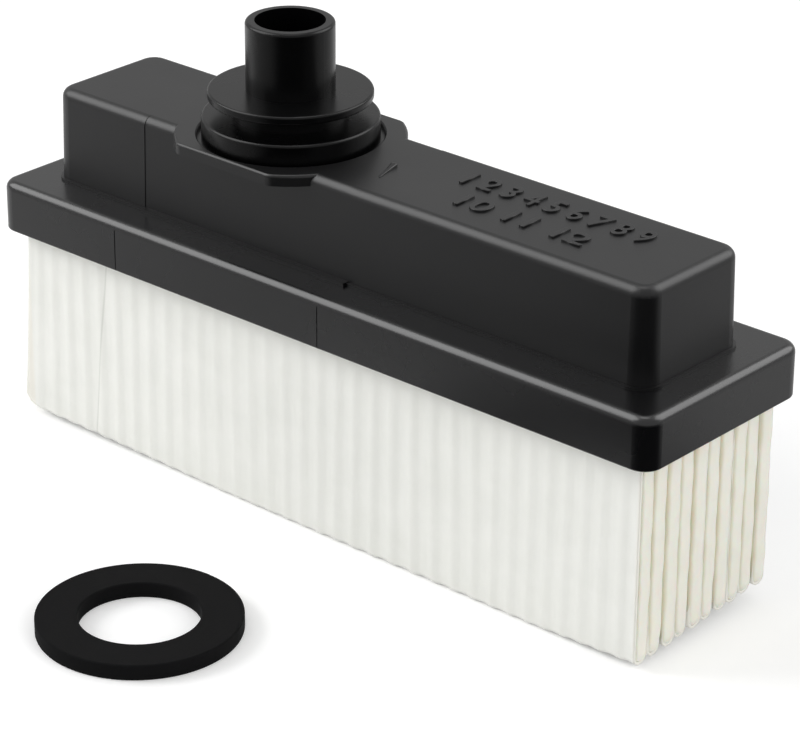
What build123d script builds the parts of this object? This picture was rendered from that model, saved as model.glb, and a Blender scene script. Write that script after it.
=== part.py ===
from build123d import *
import os

# Pleated air filter cartridge of a small engine: an outlet neck seated on a hollow cover, a rim
# that carries both, a folded filter medium potted into the rim, and the neck's rubber ring.
# Millimetres. The origin is on the neck's axis, at the upper face of its flange.
# +Z points out of the spigot and +X runs along the housing, away from the neck's end.

# Sealing ring, and the neck groove that it snaps into
washer_inner_radius = 12.5
washer_outer_radius = 21.2
washer_thickness = 3.5
washer_edge_radius = 0.4
washer_side_clearance = 0.15
washer_core_clearance = 0.2
washer_centre_x = 27.2
washer_centre_y = -74.2

# Outlet neck
spigot_radius = 9.5
bore_radius = 7.5
spigot_height = 15.1
spigot_lip_radius = 0.7
flange_radius = 17.6
flange_thickness = 1.9
flange_edge_radius = 0.5
disc_radius = 19.0
disc_stand = 4.2
disc_edge_radius = 0.6
sleeve_radius = 10.5
sleeve_length = 4.0

# Plenum cover, open below, with a truncated round seat for the neck on its top
cover_length = 164.8
cover_width = 31.3
cover_height = 21.2
cover_wall = 2.0
cover_corner_radius = 4.6
cover_edge_radius = 2.2
cover_draft = 1.2
neck_offset = 25.5
seat_radius = 24.8
seat_half_width = 21.0
seat_thickness = 2.5
seat_corner_radius = 3.0
seat_edge_radius = 0.6
moat_width = 1.0
moat_depth = 1.2
moat_chamfer = 0.3
roof_under_neck = 2.0
roof_pad_margin = 2.0
sleeve_clearance = 0.15
foot_ledge_width = 0.6
foot_ledge_height = 0.5
insert_centre_x = 0.9
insert_half_length = 29.6
panel_depth = 0.14
panel_ledge_width = 1.4
panel_ledge_height = 0.7

# Adhesive beads in their channels
neck_bead_radius = 12.4
neck_bead_width = 1.6
neck_bead_depth = 0.8
cover_bead_width = 1.2
cover_bead_depth = 0.8

# Rim frame
rim_length = 181.6
rim_width = 50.0
rim_height = 11.4
rim_corner_radius = 4.2
rim_edge_radius = 1.9
witness_line_width = 0.3
witness_line_depth = 0.12
rim_wall = 2.0
rim_bottom_edge_radius = 0.4
deck_thickness = 2.4
locating_rib_height = 2.0
locating_rib_width = 1.2
locating_rib_clearance = 0.15
bar_width = 2.4
bar_count = 3

# Pleated medium, its potting and its hot-melt seams and spacers
media_length = 173.3
media_width = 41.9
media_drop = 46.2
media_thickness = 0.6
lobe_count = 10
lobe_width = 3.3
potting_depth = 6.0
end_glue_length = 2.5
spacer_rows = 4
spacer_length = 1.2
spacer_end_margin = 12.0

# Levels, from the flange's upper face down
flange_bottom = -flange_thickness
groove_height = washer_thickness + 2 * washer_side_clearance
groove_radius = washer_inner_radius - washer_core_clearance
disc_top = flange_bottom - groove_height
cover_top = disc_top - disc_stand
moat_floor = cover_top - moat_depth
sleeve_bottom = moat_floor - sleeve_length
cover_foot = cover_top - cover_height
rim_bottom = cover_foot - rim_height
deck_bottom = cover_foot - deck_thickness
media_bottom = rim_bottom - media_drop
moat_radius = disc_radius + moat_width

# Plan sizes that follow from the fits
cavity_length = rim_length - 2 * rim_wall
cavity_width = rim_width - 2 * rim_wall
cavity_corner_radius = rim_corner_radius - rim_wall
plenum_length = cover_length - 2 * cover_wall
plenum_width = cover_width - 2 * cover_wall
plenum_corner_radius = cover_corner_radius - cover_wall
rib_length = plenum_length - 2 * locating_rib_clearance
rib_width = plenum_width - 2 * locating_rib_clearance
window_length = rib_length - 2 * locating_rib_width
window_width = rib_width - 2 * locating_rib_width
lobe_pitch = (media_width - lobe_width) / (lobe_count - 1)
lobe_gap = lobe_pitch - lobe_width
cut_margin = 1.0


def ring(outer, inner, bottom, top):
    """A round ring on the neck's axis, between two levels."""
    return extrude(Pos(0, 0, bottom) * (Circle(outer) - Circle(inner)), amount=top - bottom)


def disc(radius, bottom, top):
    """A solid round disc on the neck's axis, between two levels."""
    return extrude(Pos(0, 0, bottom) * Circle(radius), amount=top - bottom)


def slab(length, width, corner, bottom, top, draft=0.0):
    """A block with rounded upright corners on the housing's centre, drafted inwards going up."""
    outline = RectangleRounded(length, width, corner) if corner > 0 else Rectangle(length, width)
    return extrude(Pos(neck_offset, 0, bottom) * outline, amount=top - bottom, taper=draft)


def edges_at(part, level):
    """The edges of a part that lie flat at one level."""
    return part.edges().filter_by(lambda e: abs(e.bounding_box().min.Z - level) < 1e-4
                                  and abs(e.bounding_box().max.Z - level) < 1e-4)


def round_edges_at(part, radius, level):
    """The circular edges of one radius at one level."""
    return part.edges().filter_by(GeomType.CIRCLE).filter_by(
        lambda e: abs(e.radius - radius) < 1e-4 and abs(e.arc_center.Z - level) < 1e-4)


def outlet_neck():
    """Spigot, flange, seal groove and disc, with a locating sleeve below the disc."""
    neck = disc(spigot_radius, 0, spigot_height)
    neck += disc(flange_radius, flange_bottom, 0)
    neck += disc(groove_radius, disc_top, flange_bottom)
    neck += disc(disc_radius, moat_floor, disc_top)
    neck += disc(sleeve_radius, sleeve_bottom, moat_floor)
    neck -= disc(bore_radius, sleeve_bottom, spigot_height)
    neck = fillet(round_edges_at(neck, spigot_radius, spigot_height), spigot_lip_radius)
    neck = fillet(round_edges_at(neck, flange_radius, 0), flange_edge_radius)
    neck = fillet(round_edges_at(neck, flange_radius, flange_bottom), flange_edge_radius)
    neck = fillet(round_edges_at(neck, disc_radius, disc_top), disc_edge_radius)
    return neck


def neck_seat():
    """Round plate that carries the neck's disc, cut flat at the front and the back."""
    outline = Circle(seat_radius) & Rectangle(2 * seat_radius, 2 * seat_half_width)
    outline = fillet(outline.vertices(), seat_corner_radius)
    seat = extrude(Pos(0, 0, cover_top - seat_thickness) * outline, amount=seat_thickness)
    return fillet(edges_at(seat, cover_top), seat_edge_radius)


def cover_block(width):
    """The cover's outside as a solid block of one width, drafted, with its top edge rounded."""
    block = slab(cover_length, width, cover_corner_radius, cover_foot, cover_top, cover_draft)
    return fillet(edges_at(block, cover_top), cover_edge_radius)


def insert_band(half_width, bottom, top):
    """A block across the housing at the neck, as long as the mould's side inserts."""
    band = Rectangle(2 * insert_half_length, 2 * half_width)
    return extrude(Pos(insert_centre_x, 0, bottom) * band, amount=top - bottom)


def plenum_cover():
    """Hollow cover, open below, with the neck's seat, its moat and a hole in its roof."""
    outside = cover_block(cover_width)
    cover = outside - slab(plenum_length, plenum_width, plenum_corner_radius,
                           cover_foot, cover_top - cover_wall, cover_draft)
    recess = insert_band(cover_width, cover_foot + panel_ledge_height, cover_top + cut_margin)
    cover -= recess - cover_block(cover_width - 2 * panel_depth)
    roof_bottom = moat_floor - roof_under_neck
    cover += disc(moat_radius + roof_pad_margin, roof_bottom, cover_top) & outside
    cover += neck_seat()
    cover -= disc(moat_radius, moat_floor, cover_top + cut_margin)
    chamfer_cone = Cone(moat_radius, moat_radius + moat_chamfer, moat_chamfer)
    cover -= Pos(0, 0, cover_top - moat_chamfer / 2) * chamfer_cone
    cover -= disc(sleeve_radius + sleeve_clearance, roof_bottom, moat_floor)
    cover -= neck_bond_ring()
    ledge = slab(cover_length + 2 * foot_ledge_width, cover_width + 2 * foot_ledge_width,
                 cover_corner_radius + foot_ledge_width, cover_foot, cover_foot + foot_ledge_height)
    ledge += insert_band(cover_width / 2 + panel_ledge_width, cover_foot,
                         cover_foot + panel_ledge_height)
    cover += ledge - slab(plenum_length, plenum_width, plenum_corner_radius,
                          cover_foot, cover_foot + cover_height / 2, cover_draft)
    return cover


def neck_bond_ring():
    """Ring of adhesive in the seat's floor, under the neck's disc."""
    return ring(neck_bead_radius + neck_bead_width / 2, neck_bead_radius - neck_bead_width / 2,
                moat_floor - neck_bead_depth, moat_floor)


def cover_bond_bead():
    """Bead of adhesive in the deck's channel, under the middle of the cover's wall."""
    outer_inset = (cover_wall - cover_bead_width) / 2
    inner_inset = outer_inset + cover_bead_width
    bottom = cover_foot - cover_bead_depth
    bead = slab(cover_length - 2 * outer_inset, cover_width - 2 * outer_inset,
                cover_corner_radius - outer_inset, bottom, cover_foot)
    return bead - slab(cover_length - 2 * inner_inset, cover_width - 2 * inner_inset,
                       cover_corner_radius - inner_inset, bottom, cover_foot)


def rim_frame():
    """Rim with a deck that carries the cover, windows in the deck, and a cavity below it."""
    rim = slab(rim_length, rim_width, rim_corner_radius, rim_bottom, cover_foot)
    rim = fillet(edges_at(rim, cover_foot), rim_edge_radius)
    rim = fillet(edges_at(rim, rim_bottom), rim_bottom_edge_radius)
    rim -= slab(cavity_length, cavity_width, cavity_corner_radius, rim_bottom, deck_bottom)
    rib = slab(rib_length, rib_width, plenum_corner_radius, cover_foot,
               cover_foot + locating_rib_height)
    rim += rib
    rim -= slab(window_length, window_width, plenum_corner_radius, deck_bottom,
                cover_foot + locating_rib_height)
    bar_spacing = window_length / (bar_count + 1)
    for index in range(bar_count):
        bar_x = neck_offset + (index - (bar_count - 1) / 2) * bar_spacing
        bar = Pos(bar_x, 0, deck_bottom) * Rectangle(bar_width, window_width)
        rim += extrude(bar, amount=deck_thickness)
    for x in (insert_centre_x - insert_half_length, insert_centre_x + insert_half_length):
        for side in (-1, 1):
            line = Pos(x, side * rim_width / 2, rim_bottom)
            line *= Rectangle(witness_line_width, 2 * witness_line_depth)
            rim -= extrude(line, amount=rim_height - rim_edge_radius)
    return rim - cover_bond_bead()


def lobe_centre(index):
    """Where one lobe of the pleats lies across the housing."""
    return (index - (lobe_count - 1) / 2) * lobe_pitch


def half_ring(centre_y, centre_z, inner, side):
    """Section of one fold: half a ring, above (1) or below (-1) its centre."""
    outer = inner + media_thickness
    half = Pos(0, side * outer / 2) * Rectangle(2 * outer, outer)
    return Pos(centre_y, centre_z) * ((Circle(outer) - Circle(inner)) & half)


def across_section(x):
    """The plane across the housing at one X, seen from its +X end."""
    return Plane(origin=(x, 0, 0), x_dir=(0, 1, 0), z_dir=(1, 0, 0))


def pleated_media():
    """One sheet folded to and fro: straight layers, a fold under each lobe and between lobes."""
    low = media_bottom + lobe_width / 2
    high = deck_bottom - lobe_gap / 2 - media_thickness
    layer_offset = (lobe_width - media_thickness) / 2
    section = []
    for index in range(lobe_count):
        centre = lobe_centre(index)
        for side in (-1, 1):
            outermost = (index == 0 and side < 0) or (index == lobe_count - 1 and side > 0)
            top = deck_bottom if outermost else high
            layer = Rectangle(media_thickness, top - low)
            section.append(Pos(centre + side * layer_offset, (top + low) / 2) * layer)
        section.append(half_ring(centre, low, lobe_width / 2 - media_thickness, -1))
        if index < lobe_count - 1:
            section.append(half_ring(centre + lobe_pitch / 2, high, lobe_gap / 2, 1))
    start = neck_offset - media_length / 2
    return extrude(across_section(start) * (Sketch() + section), amount=media_length)


def potting_ring():
    """Resin between the rim's wall and the medium, under the deck."""
    ring_bottom = deck_bottom - potting_depth
    resin = slab(cavity_length, cavity_width, cavity_corner_radius, ring_bottom, deck_bottom)
    return resin - slab(media_length, media_width, 0, ring_bottom, deck_bottom)


def end_glue(start_x):
    """Hot-melt strips that close every lobe at one end of the medium."""
    low = media_bottom + lobe_width / 2
    strip = Rectangle(lobe_width - 2 * media_thickness, deck_bottom - low)
    strips = [Pos(lobe_centre(index), (deck_bottom + low) / 2) * strip for index in range(lobe_count)]
    return [extrude(across_section(start_x) * one, amount=end_glue_length) for one in strips]


def separator_beads():
    """Hot-melt spacers in rows between the lobes, which keep the pleats apart."""
    low = media_bottom + lobe_width
    high = rim_bottom
    row_span = media_length - 2 * spacer_end_margin
    beads = []
    for row in range(spacer_rows):
        x = neck_offset + (row / (spacer_rows - 1) - 0.5) * row_span - spacer_length / 2
        for index in range(lobe_count - 1):
            bead = Pos(lobe_centre(index) + lobe_pitch / 2, (low + high) / 2)
            bead *= Rectangle(lobe_gap, high - low)
            beads.append(extrude(across_section(x) * bead, amount=spacer_length))
    return beads


def sealing_washer():
    """Flat rubber ring, taken off the neck and lying on the surface that the housing stands on."""
    washer = ring(washer_outer_radius, washer_inner_radius, media_bottom,
                  media_bottom + washer_thickness)
    washer = fillet(washer.edges().filter_by(GeomType.CIRCLE), washer_edge_radius)
    return Pos(washer_centre_x, washer_centre_y, 0) * washer


nodes = {
    "outlet_neck": outlet_neck(),
    "plenum_cover": plenum_cover(),
    "neck_bond_ring": neck_bond_ring(),
    "rim_frame": rim_frame(),
    "cover_bond_bead": cover_bond_bead(),
    "pleated_media": pleated_media(),
    "potting_ring": potting_ring(),
    "end_glue_left": Compound(children=end_glue(neck_offset - media_length / 2)),
    "end_glue_right": Compound(children=end_glue(neck_offset + media_length / 2 - end_glue_length)),
    "separator_beads": Compound(children=separator_beads()),
    "sealing_washer": sealing_washer(),
}

os.makedirs("parts", exist_ok=True)
for node, shape in nodes.items():
    export_step(shape, f"parts/{node}.step")
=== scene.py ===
import bpy
import math
import numpy as np
from mathutils import Matrix, Vector


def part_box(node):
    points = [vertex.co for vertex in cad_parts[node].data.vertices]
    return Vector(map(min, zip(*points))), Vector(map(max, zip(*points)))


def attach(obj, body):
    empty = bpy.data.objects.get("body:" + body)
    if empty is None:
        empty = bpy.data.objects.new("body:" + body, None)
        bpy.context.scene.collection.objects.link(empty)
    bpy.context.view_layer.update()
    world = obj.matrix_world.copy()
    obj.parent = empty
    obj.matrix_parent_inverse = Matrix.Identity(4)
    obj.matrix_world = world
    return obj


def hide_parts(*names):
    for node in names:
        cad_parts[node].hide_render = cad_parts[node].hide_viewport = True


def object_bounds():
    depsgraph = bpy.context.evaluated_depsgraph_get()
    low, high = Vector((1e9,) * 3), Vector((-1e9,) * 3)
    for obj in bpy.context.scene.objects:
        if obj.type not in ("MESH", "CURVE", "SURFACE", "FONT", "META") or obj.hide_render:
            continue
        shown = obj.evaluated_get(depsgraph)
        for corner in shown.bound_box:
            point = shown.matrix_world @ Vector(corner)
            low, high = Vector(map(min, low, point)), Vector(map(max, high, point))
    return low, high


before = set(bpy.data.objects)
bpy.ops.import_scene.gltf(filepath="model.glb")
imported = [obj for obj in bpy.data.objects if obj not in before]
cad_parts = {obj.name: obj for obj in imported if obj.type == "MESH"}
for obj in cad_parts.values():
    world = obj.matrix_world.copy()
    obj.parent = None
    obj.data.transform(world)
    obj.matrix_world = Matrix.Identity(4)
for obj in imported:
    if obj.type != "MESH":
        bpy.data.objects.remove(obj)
cad_low, cad_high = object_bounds()

# Rim frame: the wide moulding that the housing is built on, in black glass-filled nylon from a
# finely eroded tool. Its deck carries the cover, its cavity below holds the medium, and thin
# lines on its long sides show where the mould's side inserts closed.
MM = 0.001


def linear(colour):
    """An sRGB hex colour as linear red, green, blue and alpha."""
    channels = [int(colour[i:i + 2], 16) / 255 for i in (1, 3, 5)]
    return [c / 12.92 if c <= 0.04045 else ((c + 0.055) / 1.055) ** 2.4 for c in channels] + [1.0]


def add(tree, kind, links=(), settings=(), sockets=(), **values):
    """Adds one node to a material's or the world's tree: its settings by name, its input values
    by socket number or by name (underscores stand for spaces), and its links as (input, node,
    output)."""
    node = tree.nodes.new(kind)
    for name, value in dict(settings).items():
        setattr(node, name, value)
    for number, value in dict(sockets).items():
        node.inputs[number].default_value = value
    for name, value in values.items():
        node.inputs[name.replace("_", " ")].default_value = value
    for socket, source, output in links:
        tree.links.new(source.outputs[output], node.inputs[socket])
    return node


def start_material(name, colour, **values):
    """A material named for what it is made of, with its constants on the shader's own sockets.
    Gives the material, its node tree and its shader."""
    material = bpy.data.materials.new(name)
    material.use_nodes = True
    tree = material.node_tree
    shader = tree.nodes["Principled BSDF"]
    shader.inputs["Base Color"].default_value = linear(colour)
    for socket, value in values.items():
        shader.inputs[socket.replace("_", " ")].default_value = value
    return material, tree, shader


def moulded_nylon(name, dark, light, roughness, shine):
    """Black glass-filled nylon. The eye sees a satin skin with a fine eroded grain, soft clouds
    of more and less gloss where the melt flowed, and a colour that hardly varies. The real grain
    is about 0.05 mm, too fine to show, so it is drawn ten times as coarse."""
    grain_size, grain_depth = 0.5 * MM, 0.015 * MM
    flow_size, gloss_swing = 18 * MM, 0.04
    material, tree, shader = start_material(name, dark, IOR=1.53, Specular_IOR_Level=shine)
    place = add(tree, "ShaderNodeTexCoord")
    flow = add(tree, "ShaderNodeTexNoise", [("Vector", place, "Object")],
               Scale=1 / flow_size, Detail=3.0, Roughness=0.55)
    tint = add(tree, "ShaderNodeMix", [("Factor", flow, "Fac")], {"data_type": "RGBA"},
               A=linear(dark), B=linear(light))
    gloss = add(tree, "ShaderNodeMapRange", [("Value", flow, "Fac")],
                To_Min=roughness - gloss_swing, To_Max=roughness + gloss_swing)
    grain = add(tree, "ShaderNodeTexNoise", [("Vector", place, "Object")],
                Scale=1 / grain_size, Detail=2.0, Roughness=0.6)
    bump = add(tree, "ShaderNodeBump", [("Height", grain, "Fac")],
               Strength=0.5, Distance=grain_depth)
    tree.links.new(tint.outputs["Result"], shader.inputs["Base Color"])
    tree.links.new(gloss.outputs["Result"], shader.inputs["Roughness"])
    tree.links.new(bump.outputs["Normal"], shader.inputs["Normal"])
    return material


def dress(node, material):
    """Gives one CAD node its material."""
    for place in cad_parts[node].material_slots:
        place.material = material


dress("rim_frame", moulded_nylon("moulded_nylon_rim", "#040405", "#09090b", 0.27, 0.62))
rim_low, rim_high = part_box("rim_frame")

# Potting ring: polyurethane resin poured round the top of the medium while the rim lay upside
# down. It seals the medium to the rim's wall and is seen only from below.
# The eye sees a dull amber band, clouded where the resin began to set as it was poured.
resin_cloud_size = 7 * MM
potting_resin, resin_tree, resin_shader = start_material(
    "polyurethane_resin_amber", "#b49a66", Roughness=0.45, IOR=1.5)
resin_place = add(resin_tree, "ShaderNodeTexCoord")
resin_cloud = add(resin_tree, "ShaderNodeTexNoise", [("Vector", resin_place, "Object")],
                  Scale=1 / resin_cloud_size, Detail=4.0, Roughness=0.6)
resin_tint = add(resin_tree, "ShaderNodeMix", [("Factor", resin_cloud, "Fac")],
                 {"data_type": "RGBA"}, A=linear("#a08655"), B=linear("#c6ad7a"))
resin_tree.links.new(resin_tint.outputs["Result"], resin_shader.inputs["Base Color"])
dress("potting_ring", potting_resin)

# Pleated medium: one sheet of white spunbonded polyester felt, folded to and fro into ten
# lobes. Shallow ripples are pressed into it across the folds, so that the layers can't lie flat
# together, and the lobes lean a little once the sheet is off the folding machine.
media_low, media_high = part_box("pleated_media")
lobe_count = 10
lobe_width = 3.3 * MM
felt_thickness = 0.6 * MM
ripple_pitch = 5.0 * MM
ripple_height = 0.26 * MM
ripple_share = 0.125            # share of the height over which the ripples fade in
fold_steps = 5                  # points round each fold
layer_steps = 5                 # points down each layer
steps_per_ripple = 7            # points along each ripple
lean = 0.42 * MM                # how far the hanging lobes sway across the pleats
rim_share = 0.2                 # share of the height that the rim holds straight
glued_length = 12 * MM          # how far from a cut end the glue damps the sway
glued_sway = 0.33               # share of the sway that is left at a cut end
splay = 0.30 * MM               # how much the glue spreads each lobe at its cut ends
splay_length = 4.0 * MM
left_corner_lift = 2.6 * MM     # the folds' lifted corners at the left end
left_corner_length = 3.4 * MM
left_corner_share = 0.1         # share of the height that is lifted
left_inset = 1.1 * MM           # the left end starts this far in under the rim
flare = 3.35 * MM               # and comes out by this much from there to the bottom
flare_length = 26 * MM
left_rise = 1.3 * MM            # how far the folds ride up at the left end
left_rise_length = 60 * MM
right_rise = 1.1 * MM           # at the right end, and more for the back lobe
back_rise = 2.3 * MM
right_rise_length = 26 * MM
uneven_ends = 0.15 * MM         # how far a lobe's cut end stands before or behind the others
# The crease is not folded into the mesh: the next three numbers place a grey line of painted
# shade in the felt's colour.
crease_x = -35.8 * MM           # where the crease meets the rim's foot
crease_slope = 0.115            # how far it runs aside for each unit up
crease_width = 0.42 * MM
# Slow waves along the medium: a length, a turn of phase from lobe to lobe, and a size.
lean_waves = ((43 * MM, 2.6, 1.0), (17 * MM, 5.9, 0.5))
wander_waves = ((31 * MM, 2.1, 1.3), (12 * MM, 4.7, 0.9))
strength_waves = ((14 * MM, 1.3, 0.18),)
lobe_pitch = (media_high.y - media_low.y - lobe_width) / (lobe_count - 1)
media_length = media_high.x - media_low.x
media_height = media_high.z - media_low.z


def fold_line(low, high):
    """The sheet's middle line across the lobes, as points, normals and lobe numbers: straight
    layers joined by half circles, under each lobe with half its inner width plus half the felt
    as radius, and over each gap with half the gap plus half the felt."""
    under = (lobe_width - felt_thickness) / 2
    over = (lobe_pitch - lobe_width + felt_thickness) / 2
    bottom = low.z + lobe_width / 2
    top = high.z - over - felt_thickness / 2
    turn = np.linspace(0, math.pi, fold_steps, endpoint=False)
    points, normals, lobes = [], [], []
    for lobe in range(lobe_count):
        centre = low.y + lobe_width / 2 + lobe * lobe_pitch
        first = high.z if lobe == 0 else top
        last = high.z if lobe == lobe_count - 1 else top
        down = np.linspace(first, bottom, layer_steps, endpoint=False)
        rise = np.linspace(bottom, last, layer_steps, endpoint=False)
        points += [np.stack([np.full_like(down, centre - under), down], 1),
                   np.stack([centre - under * np.cos(turn), bottom - under * np.sin(turn)], 1),
                   np.stack([np.full_like(rise, centre + under), rise], 1)]
        normals += [np.tile([-1.0, 0.0], (layer_steps, 1)),
                    np.stack([-np.cos(turn), -np.sin(turn)], 1),
                    np.tile([1.0, 0.0], (layer_steps, 1))]
        lobes += [np.full(2 * layer_steps + fold_steps, lobe)]
        if lobe < lobe_count - 1:
            middle = centre + lobe_pitch / 2
            points.append(np.stack([middle - over * np.cos(turn), top + over * np.sin(turn)], 1))
            normals.append(np.stack([np.cos(turn), -np.sin(turn)], 1))
            lobes.append(lobe + turn / math.pi)
    points.append([[high.y - felt_thickness / 2, high.z]])
    normals.append([[1.0, 0.0]])
    lobes.append([lobe_count - 1])
    return np.concatenate(points), np.concatenate(normals), np.concatenate(lobes)


def closed_sheet(front, back):
    """Points and four-sided faces of a closed sheet: one grid for each side, joined round all
    four edges."""
    rows, columns = front.shape[:2]
    points = np.concatenate([front.reshape(-1, 3), back.reshape(-1, 3)])
    number = np.arange(rows * columns).reshape(rows, columns)
    other = number + rows * columns

    def skin(grid):
        return np.stack([grid[:-1, :-1], grid[1:, :-1], grid[1:, 1:], grid[:-1, 1:]], -1)

    def border(grid):
        return np.concatenate([grid[0, :], grid[1:, -1], grid[-1, -2::-1], grid[-2::-1, 0]])

    ahead, behind = border(number), border(other)
    rim = np.stack([ahead[:-1], ahead[1:], behind[1:], behind[:-1]], -1)
    return points, np.concatenate([skin(number).reshape(-1, 4),
                                   skin(other)[..., ::-1].reshape(-1, 4), rim])


def mesh_piece(name, points, faces, material):
    """One smooth object at the origin from arrays of points and of four-sided faces."""
    mesh = bpy.data.meshes.new(name)
    mesh.vertices.add(len(points))
    mesh.vertices.foreach_set("co", np.asarray(points, np.float32).ravel())
    mesh.loops.add(4 * len(faces))
    mesh.loops.foreach_set("vertex_index", np.asarray(faces, np.int32).ravel())
    mesh.polygons.add(len(faces))
    mesh.polygons.foreach_set("loop_start", np.arange(0, 4 * len(faces), 4, dtype=np.int32))
    mesh.polygons.foreach_set("use_smooth", np.full(len(faces), True))
    mesh.update(calc_edges=True)
    mesh.materials.append(material)
    piece = bpy.data.objects.new(name, mesh)
    bpy.context.collection.objects.link(piece)
    return piece


def waves(along, lobe, parts):
    """A sum of sines of the way along the medium over a length, each with its phase turned by
    so much from lobe to lobe, and times its own size."""
    return sum(size * np.sin(along / length + turn * lobe) for length, turn, size in parts)


def sway(along, hang, lobe):
    """How far a lobe leans across the pleats: slow waves along it times the share of the height
    hung below the rim to the power 1.5. The lobes lean less by the fourth power of their way
    out from the middle one, and the glue holds them back in a straight run to the cut ends."""
    free = np.clip((hang - rim_share) / (1 - rim_share), 0, 1) ** 1.5
    from_end = np.minimum(along, media_length - along)
    free = free * np.clip(from_end / glued_length, glued_sway, 1)
    way_out = np.abs(lobe - (lobe_count - 1) / 2) / (lobe_count / 2)
    return lean * free * (1 - way_out ** 4) * waves(along, lobe, lean_waves)


def end_rise(along, hang, lobe):
    """How far the folds ride up toward the two ends: a straight rise over a set length at each
    end, at the right end more for the back lobes, times the square of the share of the height."""
    left = left_rise * np.clip(1 - along / left_rise_length, 0, 1)
    right = (right_rise + back_rise * lobe / (lobe_count - 1)) * np.clip(
        1 - (media_length - along) / right_rise_length, 0, 1)
    return (left + right) * hang ** 2


def left_reach(hang):
    """How far the left end stands out past the sheet's own end: the flare times the share of
    the height to the power 1.3, less the inset under the rim."""
    return flare * hang ** 1.3 - left_inset


def uneven(lobe):
    """How far one lobe's cut end stands before the others: a fixed sine of its number."""
    return uneven_ends * np.sin(3.7 * lobe)


def rippled_media(low, high):
    """The folded sheet. Along X it is moved across itself by the ripple height times a sine of
    x over the ripple pitch and a quarter of its first overtone. The phase wanders slowly, and
    the strength grows toward the right and differs from lobe to lobe. To that come the sway and
    the rise at the ends, a splay of the cut ends that falls off with the square of the distance,
    the flare of the lower left end, and the quarter circle of its lifted corner."""
    line, normal, lobe = fold_line(low, high)
    columns = round(media_length / ripple_pitch * steps_per_ripple)
    x = np.linspace(low.x, high.x, columns + 1)[None, :]
    lobe = lobe[:, None]
    along = x - low.x
    from_right = high.x - x
    hang = np.clip((high.z - line[:, 1:2]) / media_height, 0, 1)
    wander = waves(along, lobe, wander_waves) + 0.5 * np.sin(3 * hang + along / (9 * MM))
    strength = 0.5 + 0.35 * along / media_length + waves(along, lobe, strength_waves)
    phase = 2 * math.pi * along / ripple_pitch + wander
    ripple = ripple_height * strength * (np.sin(phase) + 0.25 * np.sin(2 * phase + 1.1))
    shift = ripple * np.clip(hang / ripple_share, 0, 1) + sway(along, hang, lobe)
    near_left_cut = np.clip(1 - along / splay_length, 0, 1)
    near_right_cut = np.clip(1 - from_right / splay_length, 0, 1)
    spread = splay * (near_left_cut ** 2 + near_right_cut ** 2)
    near_corner = np.clip(1 - along / left_corner_length, 0, 1)
    near_fold = np.clip((hang - 1 + left_corner_share) / left_corner_share, 0, 1)
    corner = (1 - np.sqrt(1 - near_corner ** 2)) * near_fold
    raised = left_corner_lift * corner + end_rise(along, hang, lobe)
    moved = (uneven(lobe) * near_right_cut
             - left_reach(hang) * np.clip(1 - along / flare_length, 0, 1))
    sides = []
    for half in (felt_thickness / 2, -felt_thickness / 2):
        y = line[:, 0:1] + (half + spread) * normal[:, 0:1] + shift
        z = line[:, 1:2] + half * normal[:, 1:2] + raised
        sides.append(np.stack(np.broadcast_arrays(x + moved, y, z), -1))
    return closed_sheet(*sides)


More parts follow.
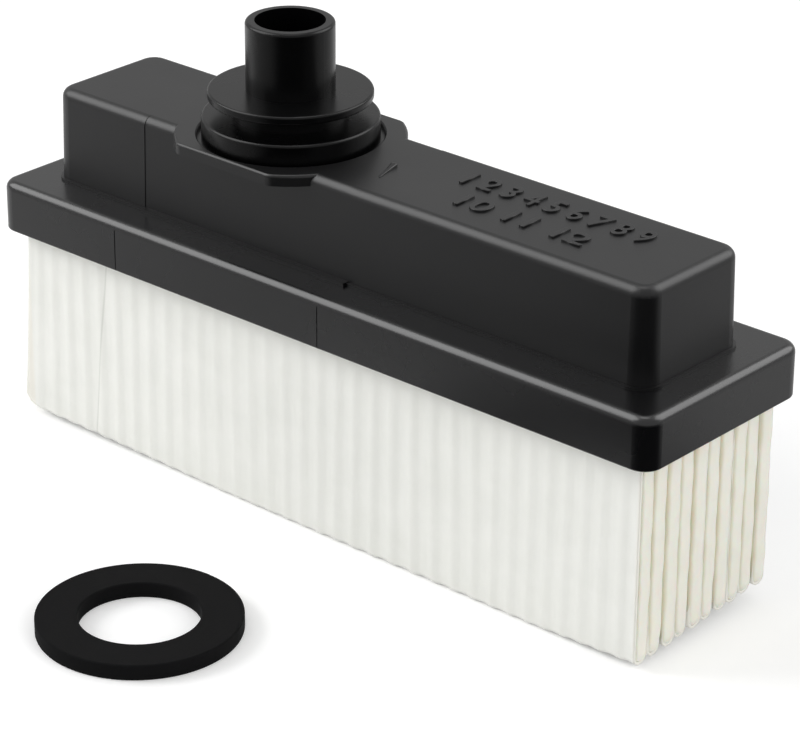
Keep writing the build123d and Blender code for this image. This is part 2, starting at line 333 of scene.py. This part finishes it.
def polyester_felt(name, low, high, rim_foot):
    """Spunbonded polyester felt. The eye sees a matt white skin of short fibres laid every way,
    faint clouds where the web is thicker, small wrinkles just under the rim, and a cream cast
    where glue has soaked into the cut ends. A thin grey line of painted shade marks the crease
    where the first layer was nipped; the crease itself is not folded into the sheet. The real
    fibres are about 0.02 mm thick, too fine to show, so bundles of them are drawn."""
    bundle_size, bundle_depth = 0.35 * MM, 0.10 * MM
    wrinkle_size, wrinkle_depth = 1.1 * MM, 0.35 * MM
    wrinkles_from, wrinkles_to = 4.5 * MM, 0.5 * MM     # below the rim's foot
    cloud_size = 9 * MM
    soaked = 1.0 * MM
    first_layer_depth, layer_fade = 1.0 * MM, 0.5 * MM
    crease_shade_strength, cast_strength, wrinkle_strength = 0.42, 0.6, 0.8
    half_length = (high.x - low.x) / 2
    material, tree, shader = start_material(
        name, "#eeeee9", Roughness=0.95, IOR=1.4, Subsurface_Weight=0.2,
        Subsurface_Scale=0.6 * MM, Sheen_Weight=0.1, Sheen_Roughness=0.6)
    shader.inputs["Subsurface Radius"].default_value = (1.0, 1.0, 0.95)
    place = add(tree, "ShaderNodeTexCoord")
    axes = add(tree, "ShaderNodeSeparateXYZ", [("Vector", place, "Object")])
    cloud = add(tree, "ShaderNodeTexNoise", [("Vector", place, "Object")],
                Scale=1 / cloud_size, Detail=4.0, Roughness=0.6)
    web = add(tree, "ShaderNodeMix", [("Factor", cloud, "Fac")], {"data_type": "RGBA"},
              A=linear("#e7e8e2"), B=linear("#f3f3ee"))
    # The crease's painted shade: a grey line set by how far x is from a slanting line, on the
    # first layer only.
    tilt = add(tree, "ShaderNodeMath", [(0, axes, "Z"), (2, axes, "X")],
               {"operation": "MULTIPLY_ADD"}, {1: -crease_slope})
    aside = add(tree, "ShaderNodeMath", [(0, tilt, "Value")], {"operation": "SUBTRACT"},
                {1: crease_x - crease_slope * rim_foot})
    offside = add(tree, "ShaderNodeMath", [(0, aside, "Value")], {"operation": "ABSOLUTE"})
    first_layer = add(tree, "ShaderNodeMapRange", [("Value", axes, "Y")],
                      From_Min=low.y + first_layer_depth,
                      From_Max=low.y + first_layer_depth + layer_fade,
                      To_Min=crease_shade_strength, To_Max=0.0)
    crease_shade = add(tree, "ShaderNodeMapRange",
                 [("Value", offside, "Value"), ("To Min", first_layer, "Result")],
                 {"interpolation_type": "SMOOTHSTEP"},
                 From_Min=0.0, From_Max=crease_width, To_Max=0.0)
    crease_shaded = add(tree, "ShaderNodeMix", [("Factor", crease_shade, "Result"), ("A", web, "Result")],
                  {"data_type": "RGBA"}, B=linear("#c2c4bc"))
    # The glue's cast: how far x is from the middle, over the last millimetre at both ends.
    across = add(tree, "ShaderNodeMath", [(0, axes, "X")], {"operation": "SUBTRACT"},
                 {1: (low.x + high.x) / 2})
    reach = add(tree, "ShaderNodeMath", [(0, across, "Value")], {"operation": "ABSOLUTE"})
    glue = add(tree, "ShaderNodeMapRange", [("Value", reach, "Value")],
               {"interpolation_type": "SMOOTHSTEP"},
               From_Min=half_length - soaked, From_Max=half_length,
               To_Min=0.0, To_Max=cast_strength)
    cream = add(tree, "ShaderNodeMix", [("Factor", glue, "Result"), ("A", crease_shaded, "Result")],
                {"data_type": "RGBA"}, B=linear("#eeeadf"))
    bundles = add(tree, "ShaderNodeTexNoise", [("Vector", place, "Object")],
                  Scale=1 / bundle_size, Detail=5.0, Roughness=0.7, Distortion=1.2)
    skin = add(tree, "ShaderNodeBump", [("Height", bundles, "Fac")],
               Strength=0.5, Distance=bundle_depth)
    # The wrinkles: longer across than down, and strongest right under the rim.
    near_rim = add(tree, "ShaderNodeMapRange", [("Value", axes, "Z")],
                   {"interpolation_type": "SMOOTHSTEP"}, From_Min=rim_foot - wrinkles_from,
                   From_Max=rim_foot - wrinkles_to, To_Min=0.0, To_Max=wrinkle_strength)
    flat = add(tree, "ShaderNodeMapping", [("Vector", place, "Object")], Scale=(1.0, 1.0, 2.2))
    folds = add(tree, "ShaderNodeTexNoise", [("Vector", flat, "Vector")],
                Scale=1 / wrinkle_size, Detail=2.0, Distortion=0.8)
    wrinkles = add(tree, "ShaderNodeBump",
                   [("Height", folds, "Fac"), ("Strength", near_rim, "Result"),
                    ("Normal", skin, "Normal")], Distance=wrinkle_depth)
    tree.links.new(cream.outputs["Result"], shader.inputs["Base Color"])
    tree.links.new(wrinkles.outputs["Normal"], shader.inputs["Normal"])
    return material


felt = polyester_felt("spunbond_polyester_white", media_low, media_high, rim_low.z)
media = mesh_piece("folded_media", *rippled_media(media_low, media_high), felt)
fold_points, _, _ = fold_line(media_low, media_high)
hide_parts("pleated_media")
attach(media, "filter")

# End glue and separator beads: cream hot-melt adhesive. It was laid in lines before the sheet
# was folded. It closes both cut ends of every lobe, where it swells into soft ridges that touch,
# and in four rows inside it keeps the lobes apart.
ridge_reach = 1.3 * MM          # half an ellipse's width along the cartridge
ridge_half_width = 2.25 * MM    # and across it, so that neighbours touch
ridge_short = 0.2 * MM          # how much shorter than the medium's height a ridge is
ridge_steps = 40
ridge_sides = 24
rim_tip, fold_tip = 0.01, 0.035         # shares of a ridge over which its two tips close
narrow_share, narrow_by = 0.22, 0.27    # it narrows over this share at the fold, by so much
side_gap = 0.05 * MM            # and stays this far inside the medium's sides
left_proud, right_proud = -0.1 * MM, 0.70 * MM


def tube_faces(rings, sides):
    """Four-sided faces of a tube of rings, with a ladder of faces over each end."""
    grid = np.arange(rings * sides).reshape(rings, sides)
    onward = np.roll(grid, -1, axis=1)
    skin = np.stack([grid[:-1], grid[1:], onward[1:], onward[:-1]], -1).reshape(-1, 4)
    step = np.arange(sides // 2 - 1)
    cap = np.stack([step, step + 1, sides - 2 - step, sides - 1 - step], -1)
    return np.concatenate([skin, cap, (cap + (rings - 1) * sides)[:, ::-1]])


def rounded(way):
    """The height of a quarter ellipse over the way in from its tip, never quite nothing."""
    return np.sqrt(np.clip(1 - np.clip(1 - way, 0, 1) ** 2, 1e-4, 1))


def hot_melt_ridges(end_x, outward, proud):
    """One ridge for each lobe at one end of the medium: an ellipse of glue carried down the
    lobe, which follows its sway and its rise, swells and thins along it by two sines, narrows
    toward the fold by a square, and closes over the quarter ellipses of its two tips."""
    low, high = media_low, media_high
    down = np.linspace(0, 1, ridge_steps)[:, None]
    turn = np.linspace(0, 2 * math.pi, ridge_sides, endpoint=False)[None, :]
    along = end_x - low.x
    tip = rounded((1 - down) / fold_tip) * rounded(down / rim_tip)
    all_points, all_faces = [], []
    for lobe in range(lobe_count):
        centre = low.y + lobe_width / 2 + lobe * lobe_pitch
        z = high.z - (media_height - ridge_short) * down
        hang = np.clip((high.z - z) / media_height, 0, 1)
        swell = 1 + 0.08 * np.sin(21 * down + 2.3 * lobe) + 0.05 * np.sin(47 * down + 4.1 * lobe)
        narrow = 1 - narrow_by * np.clip((down - 1 + narrow_share) / narrow_share, 0, 1) ** 2
        half_width = ridge_half_width * narrow * (0.9 + 0.1 * swell) * tip
        reach = ridge_reach * (1 + 0.06 * np.sin(5.3 * lobe))
        drift = uneven(lobe) if outward > 0 else -left_reach(down)
        x = end_x + outward * (proud - reach) + drift + reach * swell * tip * np.cos(turn)
        y = np.clip(centre + half_width * np.sin(turn), low.y + side_gap, high.y - side_gap)
        points = np.stack(np.broadcast_arrays(x, y + sway(along, hang, lobe),
                                              z + end_rise(along, hang, lobe)), -1)
        all_points.append(points.reshape(-1, 3))
        all_faces.append(tube_faces(ridge_steps, ridge_sides) + lobe * ridge_steps * ridge_sides)
    return np.concatenate(all_points), np.concatenate(all_faces)


# The eye sees soft cream wax that lets a little light in, with slow dents where it ran. A darker,
# browner line of painted shade runs down each groove between the ridges.
melt_cloud_size = 4 * MM
melt_dent_size, melt_dent_depth = 1.4 * MM, 0.2 * MM
groove_shade_from, groove_at = 0.28, 0.5      # shares of the pitch, out from a lobe's middle
groove_shade_strength = 0.65
first_lobe_y = media_low.y + lobe_width / 2
hot_melt, melt_tree, melt_shader = start_material(
    "hot_melt_cream", "#ece8dc", Roughness=0.5, IOR=1.48,
    Subsurface_Weight=0.35, Subsurface_Scale=1.2 * MM)
melt_place = add(melt_tree, "ShaderNodeTexCoord")
melt_cloud = add(melt_tree, "ShaderNodeTexNoise", [("Vector", melt_place, "Object")],
                 Scale=1 / melt_cloud_size, Detail=3.0)
melt_clear = add(melt_tree, "ShaderNodeMix", [("Factor", melt_cloud, "Fac")],
                 {"data_type": "RGBA"}, A=linear("#e8e6da"), B=linear("#eeede3"))
melt_axes = add(melt_tree, "ShaderNodeSeparateXYZ", [("Vector", melt_place, "Object")])
melt_lobes = add(melt_tree, "ShaderNodeMapRange", [("Value", melt_axes, "Y")], {"clamp": False},
                 From_Min=first_lobe_y, From_Max=first_lobe_y + lobe_pitch,
                 To_Min=0.0, To_Max=1.0)
melt_aside = add(melt_tree, "ShaderNodeMath", [(0, melt_lobes, "Result")],
                 {"operation": "PINGPONG"}, {1: groove_at})
# Painted shade: the glue's colour turns darker and browner toward the middle of each groove.
melt_groove_shade = add(melt_tree, "ShaderNodeMapRange", [("Value", melt_aside, "Value")],
                {"interpolation_type": "SMOOTHSTEP"},
                From_Min=groove_shade_from, From_Max=groove_at, To_Min=0.0, To_Max=groove_shade_strength)
melt_tint_and_shade = add(melt_tree, "ShaderNodeMix",
                [("Factor", melt_groove_shade, "Result"), ("A", melt_clear, "Result")],
                {"data_type": "RGBA"}, B=linear("#cbc3a3"))
melt_wax = add(melt_tree, "ShaderNodeTexNoise", [("Vector", melt_place, "Object")],
               Scale=1 / melt_dent_size, Detail=3.0)
melt_bump = add(melt_tree, "ShaderNodeBump", [("Height", melt_wax, "Fac")],
                Strength=0.6, Distance=melt_dent_depth)
melt_tree.links.new(melt_tint_and_shade.outputs["Result"], melt_shader.inputs["Base Color"])
melt_tree.links.new(melt_bump.outputs["Normal"], melt_shader.inputs["Normal"])

for seam, seam_x, outward, proud in (("end_glue_left", media_low.x, -1, left_proud),
                                     ("end_glue_right", media_high.x, 1, right_proud)):
    ridges = mesh_piece(seam + "_ridges", *hot_melt_ridges(seam_x, outward, proud), hot_melt)
    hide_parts(seam)
    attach(ridges, "filter")
dress("separator_beads", hot_melt)

# Plenum cover: a deep hollow moulding of the same nylon, bonded to the rim's deck by a bead of
# epoxy. Its top carries the neck's flat-sided seat, the moulder's month scale, 1 to 12 in two
# raised rows, and the small trimmed stub of the gate that the melt came in by.
cover_nylon = moulded_nylon("moulded_nylon_cover", "#040405", "#08080a", 0.38, 0.48)
dress("plenum_cover", cover_nylon)
cover_low, cover_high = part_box("plenum_cover")
# The eye sees a thin, fairly glossy black line, mottled grey by the filler in the epoxy.
filler_size = 2.5 * MM
epoxy, epoxy_tree, epoxy_shader = start_material("cured_epoxy_black", "#17171a", Roughness=0.25)
epoxy_place = add(epoxy_tree, "ShaderNodeTexCoord")
filler = add(epoxy_tree, "ShaderNodeTexNoise", [("Vector", epoxy_place, "Object")],
             Scale=1 / filler_size, Detail=4.0, Roughness=0.6)
epoxy_tint = add(epoxy_tree, "ShaderNodeMix", [("Factor", filler, "Fac")],
                 {"data_type": "RGBA"}, A=linear("#111113"), B=linear("#222226"))
epoxy_tree.links.new(epoxy_tint.outputs["Result"], epoxy_shader.inputs["Base Color"])
dress("cover_bond_bead", epoxy)

number_depth = 0.64 * MM        # half of it is sunk in the cover
number_bevel = 0.11 * MM
# Each row's numbers, then its left edge, foot, height and width in millimetres.
number_rows = (("1 2 3 4 5 6 7 8 9", 45.1, 2.2, 5.8, 47.2),
               ("10 11 12", 51.5, -7.2, 5.4, 32.4))


def raised_numbers(name, text, left, base, height, width):
    """A row of numbers that stands up from the cover's top: plain type, extruded with a small
    bevel, made a mesh, then scaled to its height and its width in millimetres."""
    curve = bpy.data.curves.new(name + "_type", "FONT")
    curve.body = text
    curve.resolution_u = 6
    flat = bpy.data.objects.new(name + "_type", curve)
    bpy.context.collection.objects.link(flat)
    bpy.context.view_layer.update()
    low_x, high_x = flat.bound_box[0][0], flat.bound_box[6][0]
    low_y, high_y = flat.bound_box[0][1], flat.bound_box[6][1]
    across, tall = width * MM / (high_x - low_x), height * MM / (high_y - low_y)
    curve.extrude = number_depth / 2 / tall
    curve.bevel_depth = number_bevel / tall
    curve.bevel_resolution = 2
    bpy.context.view_layer.update()
    finished = flat.evaluated_get(bpy.context.evaluated_depsgraph_get())
    mesh = bpy.data.meshes.new_from_object(finished)
    bpy.data.objects.remove(flat)
    mesh.transform(Matrix.Translation((left * MM, base * MM, cover_high.z))
                   @ Matrix.Diagonal((across, tall, tall, 1))
                   @ Matrix.Translation((-low_x, -low_y, 0)))
    mesh.materials.clear()
    mesh.materials.append(cover_nylon)
    mesh.name = name
    numbers = bpy.data.objects.new(name, mesh)
    bpy.context.collection.objects.link(numbers)
    return numbers


for index, row in enumerate(number_rows):
    numbers = raised_numbers(f"month_scale_{index + 1}", *row)
    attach(numbers, "filter")

gate_tail = np.array([31.0, -6.8]) * MM
gate_head = np.array([28.9, 0.7]) * MM
gate_half_width = (0.25 * MM, 0.90 * MM)        # at the tail and at the head
gate_height = (0.2 * MM, 0.9 * MM)
gate_tip = 0.1                                  # share of its length that closes at each tip
gate_steps = 24
gate_sides = 16


def gate_stub(tail, head):
    """The gate's stub: an ellipse made squarer by taking the roots of its sine and cosine,
    carried along a line, its half width and height growing with the square of the way along
    it, and closed over a quarter ellipse at both tips."""
    along = np.linspace(0, 1, gate_steps)[:, None]
    turn = np.linspace(0, 2 * math.pi, gate_sides, endpoint=False)[None, :]
    tip = rounded(along / gate_tip) * rounded((1 - along) / gate_tip)
    way = (head - tail) / np.linalg.norm(head - tail)
    side = np.array([-way[1], way[0]])
    across = np.sign(np.sin(turn)) * np.sqrt(np.abs(np.sin(turn)))
    upward = np.sign(np.cos(turn)) * np.sqrt(np.abs(np.cos(turn)))
    half_width, height = (first + (last - first) * along ** 2
                          for first, last in (gate_half_width, gate_height))
    x = tail[0] + along * (head - tail)[0] + half_width * tip * across * side[0]
    y = tail[1] + along * (head - tail)[1] + half_width * tip * across * side[1]
    z = cover_high.z + height * tip * upward
    points = np.stack(np.broadcast_arrays(x, y, z), -1).reshape(-1, 3)
    return points, tube_faces(gate_steps, gate_sides)


gate = mesh_piece("gate_stub", *gate_stub(gate_tail, gate_head), cover_nylon)
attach(gate, "filter")

# Outlet neck: spigot, flange, seal groove and disc in one moulding of the same nylon, bonded
# into the seat by a ring of epoxy under the disc.
dress("neck_bond_ring", epoxy)
dress("outlet_neck", moulded_nylon("moulded_nylon_neck", "#010101", "#040405", 0.28, 0.24))

# Sealing ring: cut from a sheet of black nitrile rubber, matt on its faces. It is taken off the
# neck's groove and lies in front of the cartridge.
# The eye sees a dead matt black, barely mottled by the talc that keeps such rings from sticking.
# The talc's grains are too fine to show, so its patches are drawn.
talc_patch, talc_depth = 0.8 * MM, 0.05 * MM
rubber, rubber_tree, rubber_shader = start_material(
    "nitrile_rubber_black", "#0f0f10", Roughness=0.85, IOR=1.5, Specular_IOR_Level=0.12)
rubber_place = add(rubber_tree, "ShaderNodeTexCoord")
talc = add(rubber_tree, "ShaderNodeTexNoise", [("Vector", rubber_place, "Object")],
           Scale=1 / talc_patch, Detail=5.0, Roughness=0.7)
rubber_tint = add(rubber_tree, "ShaderNodeMix", [("Factor", talc, "Fac")],
                  {"data_type": "RGBA"}, A=linear("#070708"), B=linear("#0f0f10"))
rubber_bump = add(rubber_tree, "ShaderNodeBump", [("Height", talc, "Fac")],
                  Strength=0.5, Distance=talc_depth)
rubber_tree.links.new(rubber_tint.outputs["Result"], rubber_shader.inputs["Base Color"])
rubber_tree.links.new(rubber_bump.outputs["Normal"], rubber_shader.inputs["Normal"])
dress("sealing_washer", rubber)

# Floor: a wide sheet of white paper under the cartridge. The camera sees it a little lighter
# than the lamps make it, and more so far out, so that it ends in plain white and still keeps
# the shadow. The eye sees matt white with nothing on it but that shadow.
centre = (rim_low + rim_high) / 2
floor_half = 4.0
lift_near, lift_far = 0.20, 0.60
lift_from, lift_to = 0.25, 1.0          # metres out from below the housing's centre
floor_mesh = bpy.data.meshes.new("studio_floor")
corners = [(-1, -1), (1, -1), (1, 1), (-1, 1)]
floor_mesh.from_pydata([(x * floor_half, y * floor_half, cad_low.z) for x, y in corners], [],
                       [(0, 1, 2, 3)])
floor = bpy.data.objects.new("studio_floor", floor_mesh)
bpy.context.collection.objects.link(floor)
paper, paper_tree, paper_shader = start_material("studio_paper_white", "#f7f7f7", Roughness=1.0)
paper_rays = add(paper_tree, "ShaderNodeLightPath")
paper_place = add(paper_tree, "ShaderNodeTexCoord")
paper_out = add(paper_tree, "ShaderNodeVectorMath", [(0, paper_place, "Object")],
                {"operation": "DISTANCE"}, {1: (centre.x, centre.y, cad_low.z)})
paper_rise = add(paper_tree, "ShaderNodeMapRange", [("Value", paper_out, "Value")],
                 {"interpolation_type": "SMOOTHSTEP"},
                 From_Min=lift_from, From_Max=lift_to, To_Min=lift_near, To_Max=lift_far)
paper_lift = add(paper_tree, "ShaderNodeMath",
                 [(0, paper_rays, "Is Camera Ray"), (1, paper_rise, "Result")],
                 {"operation": "MULTIPLY"})
paper_shader.inputs["Emission Color"].default_value = (1, 1, 1, 1)
paper_tree.links.new(paper_lift.outputs["Value"], paper_shader.inputs["Emission Strength"])
floor_mesh.materials.append(paper)

# Dark card: a ring of black card laid on the paper round the cartridge. Only gloss sees it, and
# it turns the corners that face it deep black. It is solid in front of the right-hand corner
# and thins out round the ring on both sides.
card_inner, card_outer, card_steps = 0.10, 1.8, 48
card_above = 0.2 * MM
# How solid the card is at each angle, in degrees from straight in front toward the right.
card_stops = ((-180, 0.05), (-66, 0.10), (-54, 0.38), (-12, 0.54),
              (8, 1.0), (98, 1.0), (118, 0.3), (180, 0.2))
card_mesh = bpy.data.meshes.new("studio_dark_card")
turn = np.linspace(0, 2 * math.pi, card_steps + 1)
ring = np.stack([np.sin(turn), -np.cos(turn), np.zeros_like(turn)], 1)
card_centre = np.array([centre.x, centre.y, cad_low.z + card_above])
card_points = np.concatenate([card_centre + card_inner * ring, card_centre + card_outer * ring])
card_faces = [(i, i + card_steps + 1, i + card_steps + 2, i + 1) for i in range(card_steps)]
card_mesh.from_pydata([tuple(p) for p in card_points], [], card_faces)
card = bpy.data.objects.new("studio_dark_card", card_mesh)
bpy.context.collection.objects.link(card)
card.visible_camera = False
card.visible_diffuse = False
card.visible_shadow = False
card_look = bpy.data.materials.new("studio_card_black")
card_look.use_nodes = True
card_tree = card_look.node_tree
card_tree.nodes.clear()
card_place = add(card_tree, "ShaderNodeTexCoord")
card_middle = add(card_tree, "ShaderNodeMapping", [("Vector", card_place, "Object")],
                  Location=(-centre.x, -centre.y, 0))
card_axes = add(card_tree, "ShaderNodeSeparateXYZ", [("Vector", card_middle, "Vector")])
card_front = add(card_tree, "ShaderNodeMath", [(0, card_axes, "Y")],
                 {"operation": "MULTIPLY"}, {1: -1.0})
card_angle = add(card_tree, "ShaderNodeMath", [(0, card_axes, "X"), (1, card_front, "Value")],
                 {"operation": "ARCTAN2"})
card_share = add(card_tree, "ShaderNodeMapRange", [("Value", card_angle, "Value")],
                 From_Min=-math.pi, From_Max=math.pi, To_Min=0.0, To_Max=1.0)
card_ramp = add(card_tree, "ShaderNodeValToRGB", [("Fac", card_share, "Result")])
ramp = card_ramp.color_ramp
while len(ramp.elements) < len(card_stops):
    ramp.elements.new(0.5)
for element, (angle, solid) in zip(ramp.elements, card_stops):
    element.position = (angle + 180) / 360
    element.color = (solid, solid, solid, 1)
card_clear = add(card_tree, "ShaderNodeBsdfTransparent")
card_dark = add(card_tree, "ShaderNodeBsdfDiffuse", Color=(0.0, 0.0, 0.0, 1.0))
card_mix = add(card_tree, "ShaderNodeMixShader",
               [("Fac", card_ramp, "Color"), (1, card_clear, "BSDF"), (2, card_dark, "BSDF")])
add(card_tree, "ShaderNodeOutputMaterial", [("Surface", card_mix, "Shader")])
card_mesh.materials.append(card_look)

# Lamps: a soft key light from the front left and a weaker one from the right give the form, and
# three large softboxes that only gloss sees draw the highlights on the mouldings' edges.
def softbox(name, direction, distance, width, height, radiance, seen_by):
    """A rectangular lamp, with sizes in metres and radiance in watts per square metre and
    steradian. It faces the housing's centre from one direction and either lights surfaces
    ("matt") or shows in their gloss ("gloss")."""
    lamp = bpy.data.lights.new(name, "AREA")
    lamp.shape = "RECTANGLE"
    lamp.size, lamp.size_y = width, height
    lamp.energy = radiance * math.pi * width * height
    holder = bpy.data.objects.new(name, lamp)
    bpy.context.collection.objects.link(holder)
    towards = Vector(direction).normalized()
    holder.location = centre + towards * distance
    holder.rotation_euler = towards.to_track_quat("Z", "Y").to_euler()
    holder.visible_camera = False
    holder.visible_diffuse = seen_by == "matt"
    holder.visible_glossy = seen_by == "gloss"


softbox("key_light", (-0.74, -0.48, 0.50), 1.2, 0.5, 0.5, 7.1, "matt")
softbox("fill_light", (0.90, -0.06, 0.43), 1.2, 0.7, 0.7, 2.2, "matt")
softbox("softbox_front_left", (-0.599, -0.426, 0.679), 0.90, 0.80, 0.80, 3.5, "gloss")
softbox("softbox_back_right", (0.426, 0.679, 0.599), 0.90, 0.70, 0.70, 2.7, "gloss")
softbox("softbox_overhead", (-0.05, 0.05, 1.0), 1.1, 0.50, 0.50, 2.1, "gloss")

# Surround: a plain white room. The camera sees it at full white, and it lights matt surfaces
# and shows in gloss at lower levels.
matt_level, gloss_level = 0.70, 0.62
world = bpy.data.worlds.new("studio_surround")
bpy.context.scene.world = world
world.use_nodes = True
sky = world.node_tree
surround = sky.nodes["Background"]
surround.inputs["Color"].default_value = (1, 1, 1, 1)
rays = add(sky, "ShaderNodeLightPath")
clear_rays = add(sky, "ShaderNodeMath",
                 [(0, rays, "Is Camera Ray"), (1, rays, "Is Transmission Ray")],
                 {"operation": "MAXIMUM"})
lit = add(sky, "ShaderNodeMapRange", [("Value", rays, "Is Glossy Ray")],
          To_Min=matt_level, To_Max=gloss_level)
seen = add(sky, "ShaderNodeMapRange",
           [("Value", clear_rays, "Value"), ("To Min", lit, "Result")], To_Max=1.0)
sky.links.new(seen.outputs["Result"], surround.inputs["Strength"])

# Camera: a long lens that looks at the cover's foot from the front right and above, a little
# rolled. It stands back from a point on the housing's length, then aside and down.
view_along = 25.8 * MM
view_distance = 719.2 * MM
view_right, view_down = 3.9 * MM, 23.1 * MM
sensor_width, focal_length = 36, 154.37         # the lens's own millimetres
azimuth, elevation, roll = math.radians(41.42), math.radians(25.19), math.radians(0.40)
target = Vector((view_along, 0, cover_low.z))
back = Vector((math.sin(azimuth) * math.cos(elevation),
               -math.cos(azimuth) * math.cos(elevation), math.sin(elevation)))
level_right = Vector((math.cos(azimuth), math.sin(azimuth), 0))
level_up = back.cross(level_right)
right = level_right * math.cos(roll) + level_up * math.sin(roll)
up = level_up * math.cos(roll) - level_right * math.sin(roll)
eye = target + back * view_distance + right * view_right - up * view_down
camera_data = bpy.data.cameras.new("camera")
camera_data.sensor_width = sensor_width
camera_data.lens = focal_length
camera = bpy.data.objects.new("camera", camera_data)
bpy.context.collection.objects.link(camera)
camera.matrix_world = Matrix.Translation(eye) @ Matrix((right, up, back)).transposed().to_4x4()
bpy.context.scene.camera = camera
bpy.context.scene.view_settings.view_transform = "Standard"
